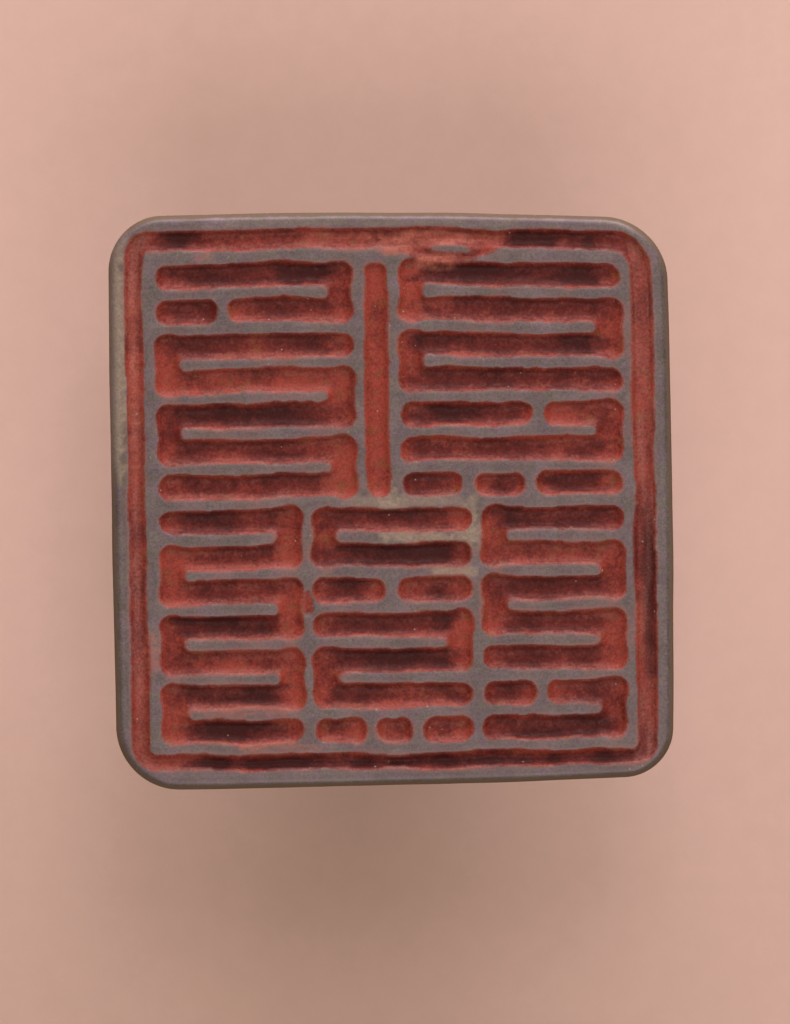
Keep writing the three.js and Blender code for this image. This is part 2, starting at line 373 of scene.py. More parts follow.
def panel_strokes(panel, left, right, tier_top, plan):
    """One panel's rows, parted where it says, and its folds from row to row."""
    strokes = []
    half_wall = plan.wall_width / 2
    for row in range(ROWS_IN_TIER):
        top = tier_top - row * plan.row_pitch
        gaps = [left + share * (right - left) for share in panel["cuts"].get(row, ())]
        starts = [left] + [x + half_wall for x in gaps]
        ends = [x - half_wall for x in gaps] + [right]
        for start, end in zip(starts, ends):
            strokes.append(stroke("row", start, top - plan.stroke_width, end, top))
    for row, side in enumerate(panel["folds"]):
        if side:
            top = tier_top - row * plan.row_pitch
            bottom = top - plan.row_pitch - plan.stroke_width
            inner = left + plan.stroke_width if side == "left" else right - plan.stroke_width
            outer = left if side == "left" else right
            strokes.append(stroke("fold", min(inner, outer), bottom, max(inner, outer), top))
    return strokes


def all_strokes(plan):
    """Every stroke of the face, tier by tier."""
    strokes = []
    for tier, panels in enumerate(TIERS):
        tier_top = plan.field.top - tier * ROWS_IN_TIER * plan.row_pitch
        uprights = sum(1 for panel in panels if panel.get("upright"))
        walls = (len(panels) - 1) * plan.wall_width
        shared = plan.field.right - plan.field.left - walls - uprights * plan.stroke_width
        left = plan.field.left
        for panel in panels:
            if panel.get("upright"):
                right = left + plan.stroke_width
                bottom = tier_top - ROWS_IN_TIER * plan.row_pitch + plan.wall_width
                strokes.append(stroke("upright", left, bottom, right, tier_top))
            else:
                right = left + panel["share"] * shared
                strokes.extend(panel_strokes(panel, left, right, tier_top, plan))
            left = right + plan.wall_width
    return strokes


def corner_radii(x, y, radii=CORNER_RADIUS):
    """The radius of the corner in each point's quarter of the face."""
    upper = np.where(x > 0, radii["top_right"], radii["top_left"])
    lower = np.where(x > 0, radii["bottom_right"], radii["bottom_left"])
    return np.where(y > 0, upper, lower)


def box_distance(x, y, box, radius):
    """How far a point lies outside a rounded rectangle, and below zero inside it."""
    across = np.abs(x - (box.left + box.right) / 2) - (box.right - box.left) / 2 + radius
    along = np.abs(y - (box.bottom + box.top) / 2) - (box.top - box.bottom) / 2 + radius
    outside = np.hypot(np.maximum(across, 0), np.maximum(along, 0))
    return outside + np.minimum(np.maximum(across, along), 0) - radius


def soft_union(first, second, reach):
    """The nearer of two distances, rounded where they meet."""
    blend = np.clip(0.5 + 0.5 * (second - first) / reach, 0, 1)
    return second + (first - second) * blend - reach * blend * (1 - blend)


def unleaned(x, y, plan):
    """The height on the face that the cuts at a place have before the bottom bands lean."""
    return y / (1 + BOTTOM_LEAN * x / (plan.half_width * plan.half_height) * (y < 0))


def groove_distance(x, y, plan):
    """How far a point lies from the groove, and below zero inside it."""
    radius = corner_radii(x, y, GROOVE_CORNER)
    outer = box_distance(x, y, plan.groove_outer, radius)
    inner = box_distance(x, y, plan.groove_inner, np.maximum(radius - plan.groove_width, 0.6))
    return np.maximum(outer, -inner)


def outline_inset(x, y, plan):
    """How far in from the true face's outline a point lies."""
    half_w, half_h = plan.half_width, plan.half_height
    face = SimpleNamespace(left=-half_w, bottom=-half_h, right=half_w, top=half_h)
    return -box_distance(x, y, face, corner_radii(x, y))


def from_wedge(x, y):
    """How far a point lies from the wedge of metal, and below zero on it."""
    return (reach_from(x, y, WEDGE) - 1) * WEDGE["half_y"]


def cut_distance(x, y, plan, strokes):
    """How far a point of the true face lies from the nearest cut, and below zero inside one."""
    wobbled_x = x + WOBBLE * face_noise(x, y, WOBBLE_SIZE, 11)
    wobbled_x = wobbled_x + JITTER * face_noise(x, y, JITTER_SIZE, 12)
    wobbled_y = y + WOBBLE * face_noise(x, y, WOBBLE_SIZE, 13)
    wobbled_y = wobbled_y + JITTER * face_noise(x, y, JITTER_SIZE, 14)
    wobbled_y = unleaned(wobbled_x, wobbled_y, plan)
    distance = groove_distance(wobbled_x, wobbled_y, plan)
    distance = soft_union(distance, from_wedge(wobbled_x, wobbled_y) - 0.45, 0.4)
    distance = np.maximum(distance, -from_wedge(wobbled_x, wobbled_y))
    for s in strokes:
        distance = soft_union(distance, box_distance(wobbled_x, wobbled_y, s, CUT_CORNER), FOLD_BLEND)
    width = WIDTH_CHANGE * face_noise(x, y, WIDTH_CHANGE_SIZE, 15) + 0.05 * face_noise(x, y, 0.8, 16)
    return distance + width


def slope_of(x, y, plan, strokes):
    """Which way the distance to the nearest cut grows, from points a small step away."""
    step = 0.02
    right = cut_distance(x + step, y, plan, strokes) - cut_distance(x - step, y, plan, strokes)
    up = cut_distance(x, y + step, plan, strokes) - cut_distance(x, y - step, plan, strokes)
    return right / (2 * step), up / (2 * step)


def drifted(x, y, plan):
    """Moves points of the true rectangle to where the hand-filed face has them."""
    u = x / plan.half_width
    v = y / plan.half_height
    right = (1 + u) / 2
    top = (1 + v) / 2
    moved = []
    for axis, place in enumerate((x, y)):
        corner = {name: drift[axis] for name, drift in CORNER_DRIFT.items()}
        upper = right * corner["top_right"] + (1 - right) * corner["top_left"]
        lower = right * corner["bottom_right"] + (1 - right) * corner["bottom_left"]
        moved.append(place + top * upper + (1 - top) * lower)
    out_x = (right * SIDE_BULGE["right"] - (1 - right) * SIDE_BULGE["left"]) * (1 - v * v)
    out_y = (top * SIDE_BULGE["top"] - (1 - top) * SIDE_BULGE["bottom"]) * (1 - u * u)
    return moved[0] + out_x, moved[1] + out_y


def on_outline(side, along, half_x, half_y, radius):
    """A place on a rounded rectangle, from its place on the sharp one.

    Side 0 is the bottom, then 1 the right, 2 the top and 3 the left, and along is measured
    from the side's middle, with the sign of the axis it follows."""
    level = side % 2 == 0
    reach = np.where(level, half_x, half_y)
    edge = np.where(level, half_y, half_x)
    bend = np.minimum(2 * radius, reach)
    share = np.where(bend > 0, (bend - radius + radius * math.pi / 4) / np.maximum(bend, 1e-9), 1)
    walked = np.abs(along)
    walked = np.where(walked > reach - bend, reach - bend + (walked - reach + bend) * share, walked)
    turned = np.maximum(walked - reach + radius, 0) / np.maximum(radius, 1e-9)
    straight = np.minimum(walked, reach - radius)
    far = (straight + radius * np.sin(turned)) * np.sign(along)
    out = edge - radius + radius * np.cos(turned)
    out = out * np.where((side == 1) | (side == 2), 1, -1)
    return np.where(level, far, out), np.where(level, out, far)


def face_outline(side, share, inset, plan):
    """The face's outline taken in by an inset, before it drifts."""
    half_x = plan.half_width - inset
    half_y = plan.half_height - inset
    sign_x = np.where(side == 1, 1, np.where(side == 3, -1, np.sign(share)))
    sign_y = np.where(side == 2, 1, np.where(side == 0, -1, np.sign(share)))
    radius = np.maximum(corner_radii(sign_x, sign_y) - inset, 0.0)
    along = share * np.where(side % 2 == 0, half_x, half_y)
    return on_outline(side, along, half_x, half_y, radius)


def outline_middle(plan):
    """The middle of the drifted outline's box, which stands over the frame's origin."""
    side, share = ring_places(FACE_RING)
    x, y = drifted(*face_outline(side, share, 0.0, plan), plan)
    return (x.min() + x.max()) / 2, (y.min() + y.max()) / 2


def ring_places(count):
    """Counter-clockwise places round a ring from its bottom left corner, as side and share along."""
    steps = count // 4
    turn = np.arange(count)
    side = turn // steps
    share = 2 * (turn % steps) / steps - 1
    return side, np.where(side < 2, share, -share)


# The seal's mesh


class Shell:
    """Vertices, faces and painted values of the closed casting, gathered ring by ring."""

    def __init__(self):
        self.points = []
        self.faces = []
        self.paint = {}
        self.count = 0

    def add_points(self, x, y, z, **paint):
        """Adds points and returns their numbers. Values that aren't given are 0."""
        size = np.size(x)
        height = np.broadcast_to(z, np.shape(x)).ravel()
        self.points.append(np.stack([np.ravel(x), np.ravel(y), height], axis=1))
        for name in PAINTS:
            value = np.broadcast_to(paint.get(name, 0.0), np.shape(x)).ravel()
            self.paint.setdefault(name, []).append(value)
        numbers = np.arange(self.count, self.count + size)
        self.count += size
        return numbers

    def bridge(self, upper, lower):
        """Faces from a ring down to the next, of as many points or half as many."""
        if len(lower) == len(upper):
            following = np.roll(np.arange(len(upper)), -1)
            quads = np.stack([lower, lower[following], upper[following], upper], axis=1)
            self.faces.extend(quads.tolist())
            return
        for i in range(len(lower)):
            start, half, end = upper[2 * i], upper[2 * i + 1], upper[(2 * i + 2) % len(upper)]
            here, there = lower[i], lower[(i + 1) % len(lower)]
            self.faces.append([here, half, start])
            self.faces.append([here, there, half])
            self.faces.append([there, end, half])


def face_grid(plan):
    """The grid's points on the true face, from its flat edge inwards, as two square arrays."""
    half_x = plan.half_width - plan.rim_round
    half_y = plan.half_height - plan.rim_round
    x, y = np.meshgrid(
        np.linspace(-half_x, half_x, FACE_CELLS + 1), np.linspace(-half_y, half_y, FACE_CELLS + 1)
    )
    gap_x = half_x - np.abs(x)
    gap_y = half_y - np.abs(y)
    beside = gap_x < gap_y
    inset = np.minimum(gap_x, gap_y)
    side = np.where(beside, np.where(x > 0, 1, 3), np.where(y > 0, 2, 0))
    radius = np.maximum(corner_radii(x, y) - plan.rim_round - inset, 0)
    along = np.where(beside, y, x)
    return on_outline(side, along, half_x - inset, half_y - inset, radius)


def nearest_to_contour(distance):
    """Marks, wherever the contour crosses a side of a cell, that side's nearer end."""
    marked = np.zeros(distance.shape, bool)
    for axis in (0, 1):
        first, second = np.moveaxis(distance, axis, 0)[:-1], np.moveaxis(distance, axis, 0)[1:]
        crossed = first * second < 0
        first_nearer = np.abs(first) <= np.abs(second)
        along = np.moveaxis(marked, axis, 0)
        along[:-1] |= crossed & first_nearer
        along[1:] |= crossed & ~first_nearer
    return marked


def snap_to_edges(x, y, plan, strokes):
    """Moves grid points near a cut's edge onto it, so that it runs clean."""
    reach = 0.62 * 2 * plan.half_width / FACE_CELLS
    inner = np.zeros(x.shape, bool)
    inner[1:-1, 1:-1] = True
    distance = cut_distance(x, y, plan, strokes)
    marked = inner & nearest_to_contour(distance) & (np.abs(distance) < reach)
    for _ in range(2):
        right, up = slope_of(x, y, plan, strokes)
        steep = np.maximum(right * right + up * up, 0.5)
        x = x - np.where(marked, distance * right / steep, 0)
        y = y - np.where(marked, distance * up / steep, 0)
        distance = cut_distance(x, y, plan, strokes)
    return x, y


def dark_paste_and_shade_of(x, y, strokes):
    """How dark and deep the old paste is, and partly painted shade: most in the middle of long strokes,
    none at their ends, which are brighter partly as painted light.

    Each stroke also has a tone of its own, which may be below 0."""
    heart = np.zeros(x.shape)
    tone = np.zeros(x.shape)
    covered = np.full(x.shape, 0.01)
    for number, s in enumerate(strokes):
        chance = np.random.default_rng(500 + number)
        low, high = STROKE_TONE_AND_SHADE[s.kind]
        here = ramp(box_distance(x, y, s, CUT_CORNER), 0.4, -0.4)
        tone += here * chance.uniform(low, high)
        covered += here
        if s.kind == "fold":
            continue
        # Uprights get little darkness: painted light, as if they lay open to the lights.
        depth = 0.1 if s.kind == "upright" else chance.uniform(0.15, 0.9)
        # Lift sets the dark part a little off the middle, upwards in a row: painted shadow of the upper
        # wall.
        lift = chance.uniform(-0.05, 0.2)
        lengthwise, crosswise = (y, x) if s.kind == "upright" else (x, y)
        start, end = (s.bottom, s.top) if s.kind == "upright" else (s.left, s.right)
        low, high = (s.left, s.right) if s.kind == "upright" else (s.bottom, s.top)
        from_end = np.minimum(lengthwise - start, end - lengthwise)
        from_end = from_end + 1.2 * face_noise(x, y, (2.2, 0.9), 31)
        from_side = (high - low) / 2 - np.abs(crosswise - (low + high) / 2 - lift)
        from_side = from_side + 0.15 * face_noise(x, y, (1.6, 0.9), 32)
        value = depth * ramp(from_end, 0.5, 3.4) * ramp(from_side, 0.0, 0.55)
        heart = np.maximum(heart, value * (0.8 + 0.45 * face_noise(x, y, (3.2, 1.4), 35)))
    return np.clip(heart + tone / covered, -0.4, 1)


def groove_heart(x, y, plan):
    """The same for the groove: dark along the bottom, low on the right and in parts of the top."""
    in_groove = ramp(groove_distance(x, y, plan) + 0.12 * face_noise(x, y, 0.8, 33), 0.15, -0.45)
    bottom = ramp(y, -25, -26) * ramp(x, -23.5, -19) * ramp(x, 25.5, 21)
    lower_right = ramp(x, 24.5, 25.5) * ramp(y, -0.5, -4.5) * ramp(y, -19.0, -17.3)
    top_left = ramp(y, 24.5, 25.5) * ramp(np.abs(x + 20.5), 3.0, 1.0)
    top_right = ramp(y, 24.5, 25.5) * ramp(np.abs(x - 16.5), 5.5, 3.0)
    patches = np.maximum.reduce([bottom, lower_right * 0.8, top_left * 0.8, top_right * 0.9])
    mottled = 0.8 + 0.45 * face_noise(x, y, 1.6, 34)
    return np.clip(patches * mottled * in_groove, 0, 1)


def flow_of(x, y, strokes, plan):
    """1 where a cut runs up the face and 0 where it runs across."""
    flow = np.zeros(x.shape)
    for s in strokes:
        if s.kind != "row":
            reach = ramp(box_distance(x, y, s, CUT_CORNER), 0.2, -0.4)
            if s.kind == "fold":
                reach = reach * ramp(np.abs(y - (s.top + s.bottom) / 2), 2.2, 1.0)
            flow = np.maximum(flow, reach)
    beside = ramp(np.abs(x), plan.field.right + 0.3, plan.field.right + 1.2)
    corner = ramp(np.abs(y) - np.abs(x), 1.5, -1.5)
    return np.maximum(flow, beside * corner)


def cut_height(distance, heart, plan):
    """Height of a cut's paste against the face. It hollows towards the middle, most where the paste is
    darkest from old paste and painted shade.
    """
    deepest = (1 - PASTE_FILL) * plan.cut_depth
    hollow = deepest * np.interp(-distance, HOLLOW_INSETS, HOLLOW_FALLS) / HOLLOW_FALLS[-1]
    return -hollow * (1 + 0.45 * np.maximum(heart, 0))


def broken_wall(x, y, height, paste):
    """Lowers the face where it is broken, and lays paste in the hollows."""
    for number, spot in enumerate(BREAKS):
        broken = patch(x, y, spot, 60 + 3 * number)
        floor = -spot["depth"] * (1 + 0.35 * face_noise(x, y, 0.6, 90 + number))
        height = np.minimum(height, broken * floor)
        paste = np.maximum(paste, 0.8 * broken)
    return height, paste


def film_of(x, y, distance, slope_up, heart):
    """Thin dried paste along the edges of the cuts, most of it towards the lower right, and a little
    stronger on the cuts' lower edges as a painted highlight of the light from above.
    """
    patchy = 0.3 + 0.7 * ramp(face_noise(x, y, 2.2, 54), -0.5, 0.5)
    patchy = patchy * (1 + 0.5 * face_noise(x, y, 9.0, 57))
    film = np.exp(-(((distance - FILM_PLACE) / FILM_WIDTH) ** 2)) * patchy
    # A little more on a cut's lower edge, which faces the light above: painted highlight.
    film = film * (0.85 + 0.1 * np.clip(-slope_up, -0.6, 1)) * (1 - 0.3 * np.maximum(heart, 0))
    return film * (0.9 + 0.35 * ramp(x - y, 5, 35))


def dried_in_groove(x, y, heart, plan):
    """Film that dried in streaks in the left and right of the groove."""
    at_side = ramp(groove_distance(x, unleaned(x, y, plan), plan), 0.0, -0.4)
    at_side = at_side * ramp(np.abs(x), 23.5, 24.5)
    dried = 0.3 + 0.4 * ramp(face_noise(x, y, (0.5, 3.5), 58), -0.4, 0.5)
    return dried * at_side * (1 - 0.6 * np.maximum(heart, 0))


def scratch_of(x, y):
    """1 in the middle of the scratch across the bottom rim."""
    along = RIM_SCRATCH["lean"] * (x - RIM_SCRATCH["x"]) - (y - RIM_SCRATCH["y"])
    scratched = ramp(np.abs(along), 2 * RIM_SCRATCH["half_width"], 0)
    return scratched * ramp(np.abs(y - RIM_SCRATCH["y"]), 1.2, 0.8)


def add_face(shell, plan):
    """The face with its rim, groove, strokes, paste and damage. Returns the grid's outer ring."""
    strokes = all_strokes(plan)
    x, y = face_grid(plan)
    x, y = snap_to_edges(x, y, plan, strokes)
    distance = cut_distance(x, y, plan, strokes)
    slope_up = slope_of(x, y, plan, strokes)[1]

    cut_y = unleaned(x, y, plan)
    heart = dark_paste_and_shade_of(x, cut_y, strokes)
    in_groove = groove_heart(x, cut_y, plan)
    heart = np.where(in_groove > 0, np.maximum(heart, in_groove), heart)
    height = cut_height(distance, heart, plan)
    flow = flow_of(x, cut_y, strokes, plan)
    lumps_across = face_noise(x, y, (2.2, 1.2), 41)
    lumps_up = face_noise(x, y, (1.2, 2.2), 42)
    lumps = lumps_across * (1 - flow) + lumps_up * flow + 0.4 * face_noise(x, y, 0.6, 43)
    height = height + ramp(distance, -0.02, -0.5) * PASTE_LUMP * lumps
    height = height + ramp(distance, 0.05, 0.4) * WALL_WEAR * face_noise(x, y, (2.0, 0.6), 44)

    paste = ramp(distance + 0.06 * face_noise(x, y, 0.6, 51), 0.19, -0.07)
    height, paste = broken_wall(x, y, height, paste)
    smeared = strongest_patch(x, y, SMEARS, 120)
    streaky = ramp(face_noise(x, y, (1.8, 0.3), 52) + 0.5 * face_noise(x, y, 0.4, 53), -0.4, 0.35)
    paste = np.maximum(paste, 0.5 * smeared * streaky * ramp(from_wedge(x, y), -0.1, 0.1))
    on_wedge = ramp(from_wedge(x, y), 0.1, -0.1)
    pale = smeared * (0.35 + 0.65 * streaky) * (1 - 0.6 * np.maximum(heart, 0)) * (1 - on_wedge)

    abrasion = strongest_patch(x, y, ABRASIONS_AND_RIM_SPARKLE, 160) * ramp(distance, -0.15, 0.15)
    height = height - abrasion * GRAZE_DEPTH * (1 + face_noise(x, y, 0.45, 55))
    scratched = scratch_of(x, y)
    height = height - SCRATCH_DEPTH * scratched

    film = film_of(x, y, distance, slope_up, heart)
    film = np.maximum(film, dried_in_groove(x, y, heart, plan))
    film = np.maximum(film, 0.6 * scratched)
    left_stain = 0.5 * ramp(x, -25.6, -26.4) * ramp(y, -9, 3) * ramp(distance, 0.0, 0.4)

    from_edge = np.minimum(plan.half_width - np.abs(x), plan.half_height - np.abs(y))
    rim_crown = -RIM_FALL * ramp(from_edge, plan.rim_width, plan.rim_round)
    place_x, place_y = drifted(x, y, plan)
    numbers = shell.add_points(
        place_x - plan.middle[0], place_y - plan.middle[1], plan.face_z + height + rim_crown,
        paste=paste, heart=heart, film=np.clip(film, 0, 1), pale=pale, flow=flow,
        abrasion=abrasion, grime=left_stain,
    )
    add_grid_faces(shell, numbers.reshape(x.shape), x, y, distance)
    return grid_edge(numbers.reshape(x.shape))


def add_grid_faces(shell, numbers, x, y, distance):
    """Two triangles a cell, parted along the way the nearest cut runs."""
    level = np.clip(distance, -0.4, 0.1)
    low_left, low_right = np.s_[:-1, :-1], np.s_[:-1, 1:]
    high_left, high_right = np.s_[1:, :-1], np.s_[1:, 1:]

    def cost(start, end):
        length = np.hypot(x[start] - x[end], y[start] - y[end])
        return np.abs(level[start] - level[end]) + 0.2 * length

    rising = cost(low_left, high_right) <= cost(low_right, high_left)
    a, b, c, d = (numbers[corner] for corner in (low_left, low_right, high_right, high_left))
    first = np.where(rising[..., None], np.stack([a, b, c], -1), np.stack([a, b, d], -1))
    second = np.where(rising[..., None], np.stack([a, c, d], -1), np.stack([b, c, d], -1))
    shell.faces.extend(first.reshape(-1, 3).tolist())
    shell.faces.extend(second.reshape(-1, 3).tolist())


def grid_edge(numbers):
    """The outer points of the grid, counter-clockwise from the bottom left."""
    bottom = numbers[0, :-1]
    right = numbers[:-1, -1]
    top = numbers[-1, :0:-1]
    left = numbers[:0:-1, 0]
    return np.concatenate([bottom, right, top, left])


def quarter_round(steps):
    """Steps round a quarter circle, as the share gone sideways and the share gone up."""
    angles = np.linspace(0, math.pi / 2, steps + 1)
    return [(math.sin(angle), 1 - math.cos(angle)) for angle in angles]


def add_block_rings(shell, upper, rings, plan):
    """Rings down the block, each given by its count of points, its inset and its height.

    The left edge is stained tan above its middle, as the rim beside it is."""
    for count, inset, z in rings:
        side, share = ring_places(count)
        x, y = drifted(*face_outline(side, share, inset, plan), plan)
        grime = ramp(z, plan.face_z - 0.03 * plan.rim_round, plan.face_z - 0.42 * plan.rim_round)
        stained = ramp(x, -26.0, -26.8) * ramp(y, 0.5, 5)
        lower = shell.add_points(
            x - plan.middle[0], y - plan.middle[1], z,
            grime=grime * (1 - 0.6 * stained),
            abrasion=0.7 * stained * (1 - 0.6 * grime),
            skin=grime * grime,
            rub=rubbed_corner(share, 0.8) + 0.8 * (inset > plan.side_taper),
            aged=ramp(z, plan.face_z - 0.8 * plan.rim_round, plan.face_z - 3.5 * plan.rim_round),
        )
        shell.bridge(upper, lower)
        upper = lower
    return upper


def add_block(shell, edge, plan):
    """From the face's flat edge over the rim and down to the back's edge. Returns the last ring."""
    rim = []
    for sideways, up in quarter_round(RIM_STEPS)[1:]:
        rim.append((FACE_RING, plan.rim_round * (1 - sideways), plan.face_z - plan.rim_round * up))
    upper = add_block_rings(shell, edge, rim, plan)
    shell.skin_start = len(shell.faces)
    side_top = plan.face_z - plan.rim_round
    side_bottom = plan.handle_height + plan.back_pillow + plan.back_edge_round
    body = []
    for step in range(1, SIDE_STEPS + 1):
        share = step / SIDE_STEPS
        z = side_top + (side_bottom - side_top) * share
        body.append((FACE_RING // 2, plan.side_taper * share, z))
    for sideways, up in quarter_round(EDGE_STEPS)[-2::-1]:
        inset = plan.edge_inset - plan.back_edge_round * sideways
        body.append((FACE_RING // 2, inset, side_bottom + plan.back_edge_round * (up - 1)))
    return add_block_rings(shell, upper, body, plan)


def rubbed_corner(share, start):
    """How much handling has rubbed a ring's corners, from each place's share along its side."""
    return ramp(np.abs(share), start, 1.0)


def handle_ring(count, spread, plan):
    """Places round the handle, its size grown by a spread."""
    side, share = ring_places(count)
    half_x = plan.handle_width / 2 + spread
    half_y = plan.handle_thickness / 2 + spread
    radius = np.full(count, max(HANDLE_CORNER + spread, 1.0))
    along = share * np.where(side % 2 == 0, half_x, half_y)
    return on_outline(side, along, half_x, half_y, radius)


def pillow(x, y, plan):
    """How far the back has fallen away from its middle at a place on the true block."""
    inset = outline_inset(x, y, plan)
    share = np.clip((BACK_FLAT_INSET - inset) / (BACK_FLAT_INSET - plan.edge_inset), 0, 1)
    return plan.back_pillow * share * share


def add_back(shell, edge, plan):
    """The pillowed back, drawn in from the block's edge to the foot of the handle."""
    count = len(edge) // 2
    side, share = ring_places(count)
    true_x, true_y = face_outline(side, share, plan.edge_inset, plan)
    out_x, out_y = drifted(true_x, true_y, plan)
    foot_x, foot_y = handle_ring(count, HANDLE_SPREAD + ROOT_FILLET, plan)
    upper = edge
    for step in range(1, BACK_STEPS + 1):
        part = step / BACK_STEPS
        fallen = pillow(true_x + (foot_x - true_x) * part, true_y + (foot_y - true_y) * part, plan)
        x = (out_x - plan.middle[0]) * (1 - part) + foot_x * part
        y = (out_y - plan.middle[1]) * (1 - part) + foot_y * part
        lower = shell.add_points(x, y, plan.handle_height + fallen, grime=1.0, skin=1.0, aged=1.0)
        shell.bridge(upper, lower)
        upper = lower
    return upper


def add_handle(shell, edge, plan):
    """The plate handle from its fillet down to its flat end, which is closed."""
    count = len(edge)
    foot_x, foot_y = handle_ring(count, HANDLE_SPREAD + ROOT_FILLET, plan)
    fallen = pillow(foot_x, foot_y, plan)
    fillet_start = plan.handle_height - ROOT_FILLET
    rings = []
    for sideways, up in quarter_round(EDGE_STEPS)[-2::-1]:
        z = fillet_start + (ROOT_FILLET + fallen) * sideways
        rings.append((count, HANDLE_SPREAD + ROOT_FILLET * up, z))
    for step in range(1, HANDLE_STEPS + 1):
        share = step / HANDLE_STEPS
        z = fillet_start + (HANDLE_END_ROUND - fillet_start) * share
        rings.append((count, HANDLE_SPREAD * (1 - share), z))
    for sideways, up in quarter_round(EDGE_STEPS)[-2::-1]:
        rings.append((count, HANDLE_END_ROUND * (sideways - 1), HANDLE_END_ROUND * up))
    for halving, spread in enumerate(END_CAP_SPREADS, start=1):
        rings.append((count >> halving, spread, 0.0))
    upper = edge
    for points, spread, z in rings:
        x, y = handle_ring(points, spread, plan)
        corner = rubbed_corner(ring_places(points)[1], 0.55) * ramp(z, fillet_start + 1, fillet_start - 3)
        end = 0.9 * ramp(z, 3.0, 0.3)
        lower = shell.add_points(x, y, z, grime=1.0, skin=1.0, aged=1.0, rub=np.maximum(corner, end))
        shell.bridge(upper, lower)
        upper = lower
    shell.faces.append(upper[::-1].tolist())


def roughen(mesh, skin, rim_z):
    """Moves the cast skin a little along its normals: shallow dents and fine sand marks."""
    count = len(mesh.vertices)
    places = np.empty(count * 3)
    mesh.vertices.foreach_get("co", places)
    places = places.reshape(-1, 3) / MM
    normals = np.empty(count * 3)
    mesh.vertices.foreach_get("normal", normals)
    normals = normals.reshape(-1, 3)
    dents = lattice_noise(places, 6.0, 71) * SKIN_DENT
    sand = (lattice_noise(places, 1.1, 72) + 0.6 * lattice_noise(places, 0.5, 73)) * SKIN_ROUGHNESS
    pits = -SKIN_PIT * ramp(lattice_noise(places, 1.6, 74), 0.55, 0.8)
    below_rim = ramp(places[:, 2], rim_z, rim_z - 2.5)
    moved = np.minimum(dents * (0.4 + 0.6 * below_rim) + (sand + pits) * below_rim, 0.05)
    weight = skin * ramp(places[:, 2], 0.2, 1.6)
    places = places + normals * (weight * moved)[:, None]
    mesh.vertices.foreach_set("co", (places * MM).ravel())


def seal_mesh(sizes):
    """The whole casting as one closed mesh with its painted values."""
    plan = plan_of(sizes)
    shell = Shell()
    edge = add_face(shell, plan)
    edge = add_block(shell, edge, plan)
    add_handle(shell, add_back(shell, edge, plan), plan)
    mesh = bpy.data.meshes.new("seal_casting")
    mesh.from_pydata((np.concatenate(shell.points) * MM).tolist(), [], shell.faces)
    paint = {name: np.concatenate(values) for name, values in shell.paint.items()}
    roughen(mesh, paint.pop("skin"), plan.face_z - plan.rim_round)
    for name, values in paint.items():
        attribute = mesh.attributes.new(name, "FLOAT", "POINT")
        attribute.data.foreach_set("value", values.astype(np.float32))
    material = np.zeros(len(mesh.polygons), np.int32)
    material[shell.skin_start:] = 1
    mesh.polygons.foreach_set("material_index", material)
    mesh.shade_smooth()
    mesh.update()
    return mesh


# Nodes


def feed(tree, socket, value):
    """Links a socket to another one, or sets its value."""
    if isinstance(value, bpy.types.NodeSocket):
        tree.links.new(value, socket)
    elif value is not None:
        socket.default_value = value


def place(tree, kind, inputs, **settings):
    """Adds a node with its settings and feeds its inputs."""
    node = tree.nodes.new(kind)
    for name, value in settings.items():
        setattr(node, name, value)
    for key, value in inputs.items():
        feed(tree, node.inputs[key], value)
    return node


def maths(tree, operation, first, second=None, third=None, clamp=False):
    """One step of arithmetic on sockets or numbers."""
    inputs = {0: first, 1: second, 2: third}
    node = place(tree, "ShaderNodeMath", inputs, operation=operation, use_clamp=clamp)
    return node.outputs[0]


def between(tree, value, low, high, to_low=0.0, to_high=1.0):
    """Eases a value between two limits."""
    inputs = {"Value": value, "From Min": low, "From Max": high, "To Min": to_low, "To Max": to_high}
    node = place(tree, "ShaderNodeMapRange", inputs, interpolation_type="SMOOTHSTEP")
    return node.outputs[0]


def blend(tree, share, first, second, mode="MIX"):
    """Mixes two colours."""
    inputs = {0: share, 6: first, 7: second}
    node = place(tree, "ShaderNodeMix", inputs, data_type="RGBA", blend_type=mode)
    return node.outputs[2]


def lit(tree, colour, light):
    """A colour made darker or lighter by a factor."""
    factor = place(tree, "ShaderNodeCombineColor", {0: light, 1: light, 2: light}).outputs[0]
    return blend(tree, 1.0, colour, factor, "MULTIPLY")


def stretched(tree, vector, across, along, up):
    """A place scaled along each axis, which makes noise long where the scale is small."""
    scale = {0: vector, 1: (across, along, up)}
    return place(tree, "ShaderNodeVectorMath", scale, operation="MULTIPLY").outputs[0]


def grain(tree, vector, scale, detail=2.0, roughness=0.5, distortion=0.0):
    """Noise from about 0.2 to 0.8 over a place in millimetres, finer as the scale grows."""
    inputs = {
        "Vector": vector,
        "Scale": scale,
        "Detail": detail,
        "Roughness": roughness,
        "Distortion": distortion,
    }
    return place(tree, "ShaderNodeTexNoise", inputs).outputs[0]


def painted(tree, name):
    """A value painted on the mesh's points."""
    return place(tree, "ShaderNodeAttribute", {}, attribute_name=name).outputs["Fac"]


def millimetres(tree):
    """The place on the object in millimetres."""
    where = place(tree, "ShaderNodeTexCoord", {})
    return stretched(tree, where.outputs["Object"], 1 / MM, 1 / MM, 1 / MM)


def rgba(colour):
    """A colour with full alpha."""
    return (*colour, 1.0)


def new_group(name, inputs, outputs):
    """An empty node group. Inputs and outputs are pairs of a name and a kind of socket."""
    group = bpy.data.node_groups.new(name, "ShaderNodeTree")
    for label, kind in inputs:
        group.interface.new_socket(name=label, in_out="INPUT", socket_type="NodeSocket" + kind)
    for label, kind in outputs:
        group.interface.new_socket(name=label, in_out="OUTPUT", socket_type="NodeSocket" + kind)
    return group, group.nodes.new("NodeGroupInput").outputs, group.nodes.new("NodeGroupOutput").inputs


